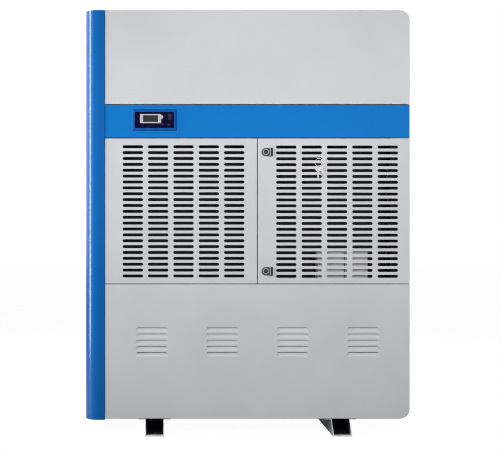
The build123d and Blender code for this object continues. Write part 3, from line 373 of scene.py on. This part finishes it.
def rail_zinc(node):
    """Galvanised outside and painted shade inside, by the distance from the middle and the ends.
    """
    rail = Sides(node)
    zinc, tone = zinc_sheet(f"{node}_zinc")
    across, along, up = zinc.axes((rail.middle.x, rail.middle.y, 0))
    from_end = (rail.back - rail.front) / 2 - abs(along)
    inside = (across > -inner_half) * (across < inner_half) * (up > channel_floor)
    # Painted shade: the channel's inside is made near black, matt and not metallic, fading in
    # from each end.
    channel_shade = inside * from_end.clamped(unshaded, fully_shaded)
    zinc.set("Base Color", zinc.mix(channel_shade, tone, painted_channel_shade))
    zinc.set("Metallic", zinc_metallic - zinc_metallic * channel_shade)
    zinc.set("Roughness", zinc_roughness + 0.5 * channel_shade)
    zinc.set("Specular IOR Level", 0.05)
    return zinc


rail_finish = {node: rail_zinc(node) for node in ("foot_rail_left", "foot_rail_right")}
print("sealed inside:", *rail_finish)

# %% [markdown]
# ## Bright and cast metals
# Keys and ring are nickel plated, so they mirror the room. The locks' bushes are
# cast zinc with a slightly grainy skin. Pipes are drawn copper, which has dark
# handling marks, and the fins are thin mill-finish aluminium. They differ only in
# colour, grain and tarnish, so one function makes them all.

# %% Metals
tarnish_ripples, tarnish_dark = 60.0, 0.7
cast_grain = {"grain": 0.00003, "grain_scale": 1500.0}


def metal(name, color, roughness, grain=0.00001, grain_scale=900.0, stretch=(1, 1, 1),
          tarnish=0.15, dark=None):
    """Bare metal with a grain and patches of tarnish."""
    bare = Finish(name, color, roughness, 1.0)
    patches = bare.noise(tarnish_ripples, detail=4.0, stretch=stretch)
    darker_tone = dark or shade(color, tarnish_dark)
    bare.set("Base Color", bare.mix(patches.clamped(0.45, 0.75, 0.0, tarnish), color, darker_tone))
    bare.set("Roughness", roughness + 0.12 * patches.clamped(0.4, 0.8))
    bare.bump(bare.noise(grain_scale, detail=2.0, stretch=stretch), grain, 0.6)
    return bare


nickel = metal("nickel_plate", (0.80, 0.79, 0.78), 0.16)
zinc_casting = metal("zinc_casting", (0.30, 0.31, 0.34), 0.34, **cast_grain)
aluminium = metal("mill_aluminium", (0.72, 0.73, 0.75), 0.36, stretch=(1, 1, 0.1))
copper = metal("drawn_copper", (0.72, 0.36, 0.24), 0.30, tarnish=0.5, dark=(0.24, 0.12, 0.09))
stainless = metal("brushed_stainless", (0.62, 0.62, 0.63), 0.33, stretch=(0.05, 1, 1))
print("metals made:", nickel.material.name, copper.material.name)

# %% [markdown]
# ## Lock heads
# A thumb-turn lock is a small turned and cast face: a plug with its keyway, a ring
# groove, a raised rim and a winged grip. The light and shade on it are painted into
# the colour: a painted highlight on the rim and on the grip's crest, painted shade in
# the groove and on the grip's back, and the rest a dull grey. The turned rings are
# round about the lock's own axis, so the distance from that axis, taken from its
# joint, says which ring a point is on.

# %% Rings and crest of a lock
joints = {joint["name"]: joint for joint in frame["record"]["behaviour"]["joints"]}
plug_edge, groove_edge, rim_edge = 0.0046, 0.0072, 0.0120
rim_from, rim_to = groove_edge + 0.0008, rim_edge - 0.0004
crest_from, crest_to = 0.0125, 0.0186
# The grip's back and the groove get painted shade, and the rim and crest a painted highlight.
casting, dull_face, grip_shade = (0.16, 0.17, 0.20), (0.15, 0.16, 0.19), (0.045, 0.048, 0.06)
painted_highlight, painted_groove_shade = (0.50, 0.52, 0.58), (0.02, 0.02, 0.024)


def lock_casting(name, axis):
    """Dull cast zinc, with painted shade in the groove and on the grip's back and a painted
    highlight on the rim and crest.
    """
    head = metal(name, casting, 0.36, **cast_grain)
    across, _, up = head.axes(axis)
    radius = (across * across + up * up) ** 0.5
    in_groove = (radius > plug_edge) * (radius < groove_edge)
    on_rim = (radius > rim_from) * (radius < rim_to)
    on_crest = (across > crest_from) * (across < crest_to) * (radius > rim_edge)
    grip_back = (across > crest_to) * (radius > rim_edge)
    # Painted shade on the grip's back and in the groove, and a painted highlight on the rim and
    # crest.
    darker_tone = head.mix(grip_back, dull_face, grip_shade)
    bright = head.mix((on_rim | on_crest) * 0.9, darker_tone, painted_highlight)
    head.set("Base Color", head.mix(in_groove, bright, painted_groove_shade))
    return head


lock_finish = {way: lock_casting(f"{way}_lock_casting", joints[f"lock_{way}_turn"]["pos_m"])
               for way in ("upper", "lower")}
print("lock heads are", 2 * rim_edge * 1000, "mm across the rim")

# %% [markdown]
# ## Plastics, rubber and film
# Moulded parts have a fine spark-eroded texture. The control film is printed from
# behind, so it is smooth and deep navy with a slight sheen, and the display window
# is a dark clear plastic over an unlit display. Four of them are matt enough to
# need a lower specular level than plain plastic has.

# %% Moulded and printed plastics
eroded_ripples, dust_ripples = 1400.0, 40.0


def moulded(name, color, roughness, texture=0.00002):
    """Moulded plastic or rubber with a fine eroded texture and a trace of dust."""
    plastic = Finish(name, color, roughness)
    dust = plastic.noise(dust_ripples, detail=4.0)
    dusty = shade(color, 1.1, 0.006)
    plastic.set("Base Color", plastic.mix(dust.clamped(0.4, 0.7), color, dusty))
    plastic.set("Roughness", roughness + 0.06 * dust)
    plastic.bump(plastic.noise(eroded_ripples, detail=1.0), texture, 0.5)
    return plastic


bezel_blue = moulded("bezel_blue_plastic", (0.004, 0.088, 0.35), 0.32)
film = moulded("navy_control_film", (0.002, 0.001, 0.026), 0.30, texture=0.000004)
display_rim = moulded("silver_display_rim", (0.46, 0.45, 0.50), 0.40)
display_glass = moulded("dark_display_window", (0.018, 0.022, 0.019), 0.14, texture=0.000001)
power_cap = moulded("sand_button", (0.50, 0.44, 0.38), 0.45)
dark_cap = moulded("plum_button", (0.026, 0.019, 0.058), 0.45)
circuit_green = moulded("solder_mask", (0.02, 0.12, 0.05), 0.3)
pvc = moulded("pale_pvc", (0.62, 0.62, 0.63), 0.45)
rubber = moulded("black_rubber", (0.018, 0.018, 0.019), 0.75, texture=0.00006)
nylon = moulded("black_nylon", (0.02, 0.02, 0.024), 0.5)
switch_grey = moulded("switchgear_plastic", (0.075, 0.078, 0.085), 0.5)
matt_plastics = ((bezel_blue, 0.06), (film, 0.04), (display_glass, 0.2), (dark_cap, 0.1))
for plastic, sheen in matt_plastics:
    plastic.set("Specular IOR Level", sheen)
print("matt plastics:", *(plastic.material.name for plastic, _ in matt_plastics))

# %% [markdown]
# ## Filter mesh
# The filters are a coarse black nylon weave. Two sets of square ribs, one along X
# and one along Z, come from the distance to the nearest whole number of threads;
# their larger value is the height of the weave, which lifts the threads and paints
# shade into the holes between them.

# %% Nylon weave
thread_pitch = 0.0022
painted_hole_shade, thread_black = (0.0012, 0.0012, 0.002), (0.018, 0.018, 0.021)


def ribs(finish, along):
    """1 in the middle of a thread and 0 half-way to the next one."""
    wave = finish.node("ShaderNodeMath", {"operation": "PINGPONG"},
                       {0: along * (1 / thread_pitch), 1: 0.5})
    return 1.0 - wave * 2.0


weave = Finish("black_nylon_weave", (0.012, 0.012, 0.014), 0.7)
weave_x, _, weave_z = weave.axes()
threads = ribs(weave, weave_x) | ribs(weave, weave_z)
# The holes between the threads get painted shade.
weave.set("Base Color", weave.mix(threads.clamped(0.45, 0.7), painted_hole_shade, thread_black))
weave.bump(threads, 0.0004, 0.8)
print("weave of", thread_pitch * 1000, "mm")

# %% [markdown]
# ## Dress the solids
# The record says which material slot each solid takes its finish from. One table
# from slot to finish dresses all of them, so no solid is forgotten, and a solid
# that changes slot changes its looks too. A few solids have a finish of their own.

# %% A finish for every slot
finish_of_slot = {
    "grey_paint": grey_paint, "blue_paint": blue_paint, "bezel_blue": bezel_blue,
    "galvanised": galvanised, "zinc_casting": zinc_casting, "nickel": nickel,
    "overlay_film": film, "display_silver": display_rim, "display_glass": display_glass,
    "key_cap": power_cap, "key_dark": dark_cap, "board_green": circuit_green,
    "filter_mesh": weave, "aluminium": aluminium, "copper": copper,
    "stainless": stainless, "pvc": pvc, "black_enamel": black_enamel, "rubber": rubber,
    "black_nylon": nylon, "box_white": white_paint, "contactor_grey": switch_grey,
    "motor_grey": motor_enamel,
}
finish_of_node = {
    "corner_pillar": pillar_paint, "pillar_caps": pillar_paint,
    "lock_knob_upper": lock_finish["upper"], "lock_knob_lower": lock_finish["lower"],
    **rail_finish,
}
slot_of_node = {part["node"]: part["material_slot"] for part in frame["record"]["subparts"]}
for name, solid in nodes.items():
    solid.data.materials.clear()
    finish = finish_of_node.get(name, finish_of_slot[slot_of_node[name]])
    solid.data.materials.append(finish.material)
print("dressed", len(nodes), "solids from", len(finish_of_slot), "slots,",
      len(finish_of_node), "of them with a finish of their own")

# %% [markdown]
# ## Coil fins
# A coil is hundreds of aluminium sheets threaded on copper tubes. The solid shows
# only the outside of that pack, so the fins are made here, one thin plate at a
# time, from a cube that is scaled and moved into its place. Six faces a fin keep
# three hundred of them light.

# %% Fin packs
fin_pitch = 0.0032
fin_thickness = 0.0005


def box_into(mesh, low, high):
    """Adds a box between two corners to a bmesh."""
    size = Vector(high) - Vector(low)
    middle = (Vector(high) + Vector(low)) / 2
    place = Matrix.Translation(middle) @ Matrix.Diagonal((*size, 1.0))
    bmesh.ops.create_cube(mesh, size=1.0, matrix=place)


def piece(name, mesh, finish, body):
    """Turns a bmesh into a finished object that rides on a body."""
    data = bpy.data.meshes.new(name)
    mesh.to_mesh(data)
    mesh.free()
    data.materials.append(finish.material)
    made = bpy.data.objects.new(name, data)
    bpy.context.scene.collection.objects.link(made)
    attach(made, body)
    return made


for coil in ("evaporator_fins", "condenser_fins"):
    pack = Sides(coil)
    fins = bmesh.new()
    count = int((pack.right - pack.left) / fin_pitch)
    spread = (pack.right - pack.left - fin_thickness) / (count - 1)
    for index in range(count):
        x = pack.left + index * spread
        box_into(fins, (x, pack.front, pack.bottom), (x + fin_thickness, pack.back, pack.top))
    stack = piece(coil.replace("fins", "fin_stack"), fins, aluminium, "cabinet")
    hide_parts(coil)
    print(coil, "becomes", count, "fins")

# %% [markdown]
# ## A room in two tones
# A white backdrop would flood the machine with light. So the room is white only
# where it is seen, straight on, in a gloss or through glass, and a dim grey to
# every ray that carries light. Light Path tells the rays apart.

# %% White to the eye, grey to the machine
white = (1.0, 1.0, 1.0)
room_light = 0.15

world = bpy.data.worlds.new("studio_room")
bpy.context.scene.world = world
world.use_nodes = True
room = Tree(world.node_tree, "Background")
seen, glossed, refracted = (room.node("ShaderNodeLightPath", output=ray) for ray in
                            ("Is Camera Ray", "Is Glossy Ray", "Is Transmission Ray"))
room.set("Color", white)
room.set("Strength", (seen | glossed | refracted).clamped(0.0, 1.0, room_light, 1.0))
print("the room lights the machine at", room_light)

# %% [markdown]
# ## White paper floor
# The floor is white paper on the same terms: most of what the camera sees of it is
# plain white. The rest is its real shading, and that share is the machine's contact
# shadow. Its colour is a middle grey, so little light bounces up from it.

# %% Paper and floor
paper_grey = (0.28, 0.28, 0.28)
paper_share = 0.85
paper_glow = 1.135
floor_half = 15.0

paper = Finish("white_paper", paper_grey, 0.9)
glow = paper.node("ShaderNodeEmission", None, {"Color": white, "Strength": paper_glow})
shading = Value(paper, paper.shader.outputs["BSDF"])
plain_white = paper.node("ShaderNodeLightPath", output="Is Camera Ray") * paper_share
blend = paper.node("ShaderNodeMixShader", None, {0: plain_white, 1: shading, 2: glow})
paper.put(paper.tree.nodes["Material Output"].inputs["Surface"], blend)

floor_mesh = bmesh.new()
bmesh.ops.create_grid(floor_mesh, x_segments=1, y_segments=1, size=floor_half)
floor_data = bpy.data.meshes.new("studio_floor")
floor_mesh.to_mesh(floor_data)
floor_mesh.free()
floor_data.materials.append(paper.material)
studio_floor = bpy.data.objects.new("studio_floor", floor_data)
bpy.context.scene.collection.objects.link(studio_floor)
print("floor of", 2 * floor_half, "m")

# %% [markdown]
# ## Lights for the front
# The key softbox stands in front to the left, so that the lock heads and the
# louvres throw short shadows to the right. A long one over the front keeps the
# upper panels bright and lets the light fade towards the floor, and a weak one
# fills the right. A tall strip far to the left draws the bright line down the
# rounded pillar; it is the only one that gloss mirrors.

# %% Softboxes
def softbox(name, place, target, size, power, mirrored=False):
    """A rectangular lamp at a place, turned to a target; gloss shows it only if mirrored."""
    data = bpy.data.lights.new(name, "AREA")
    data.shape = "RECTANGLE"
    data.size, data.size_y = size
    data.energy = power
    lamp = bpy.data.objects.new(name, data)
    aim = (Vector(target) - Vector(place)).to_track_quat("-Z", "Y")
    lamp.matrix_world = Matrix.Translation(place) @ aim.to_matrix().to_4x4()
    lamp.visible_camera = False
    lamp.visible_glossy = mirrored
    bpy.context.scene.collection.objects.link(lamp)
    print(name, "of", power, "W")


softbox("key_softbox", place=(-2.5, -2.4, 1.8), target=(0.1, front_y, 1.25),
        size=(0.7, 0.7), power=41.0)
softbox("front_softbox", place=(0.24, -1.85, 1.20), target=(0.24, front_y, 1.02),
        size=(1.9, 0.6), power=13.4)
softbox("fill_softbox", place=(0.7, -1.9, 1.5), target=(0.5, front_y, 1.3),
        size=(0.8, 0.6), power=8.5)
softbox("side_softbox", place=(-2.3, -0.45, 1.2), target=(-0.6, -0.25, 1.0),
        size=(0.36, 2.2), power=34.0, mirrored=True)

# %% [markdown]
# ## Lights for the other sides
# The machine is also turned round and looked down on, so its right side, back and
# roof each have a lamp of their own. None of them stands in front of the front
# panels, so they leave the front as it is.

# %% Softboxes for the right, the back and the roof
softbox("right_softbox", place=(3.3, 0.7, 1.3), target=(0.62, 0.0, 0.9),
        size=(0.9, 1.8), power=54.0)
softbox("back_softbox", place=(0.2, 3.2, 1.4), target=(0.0, 0.23, 0.9),
        size=(2.0, 1.6), power=62.0)
softbox("roof_softbox", place=(0.1, 0.6, 4.2), target=(0.0, 0.1, roof.top),
        size=(2.0, 1.2), power=44.0)
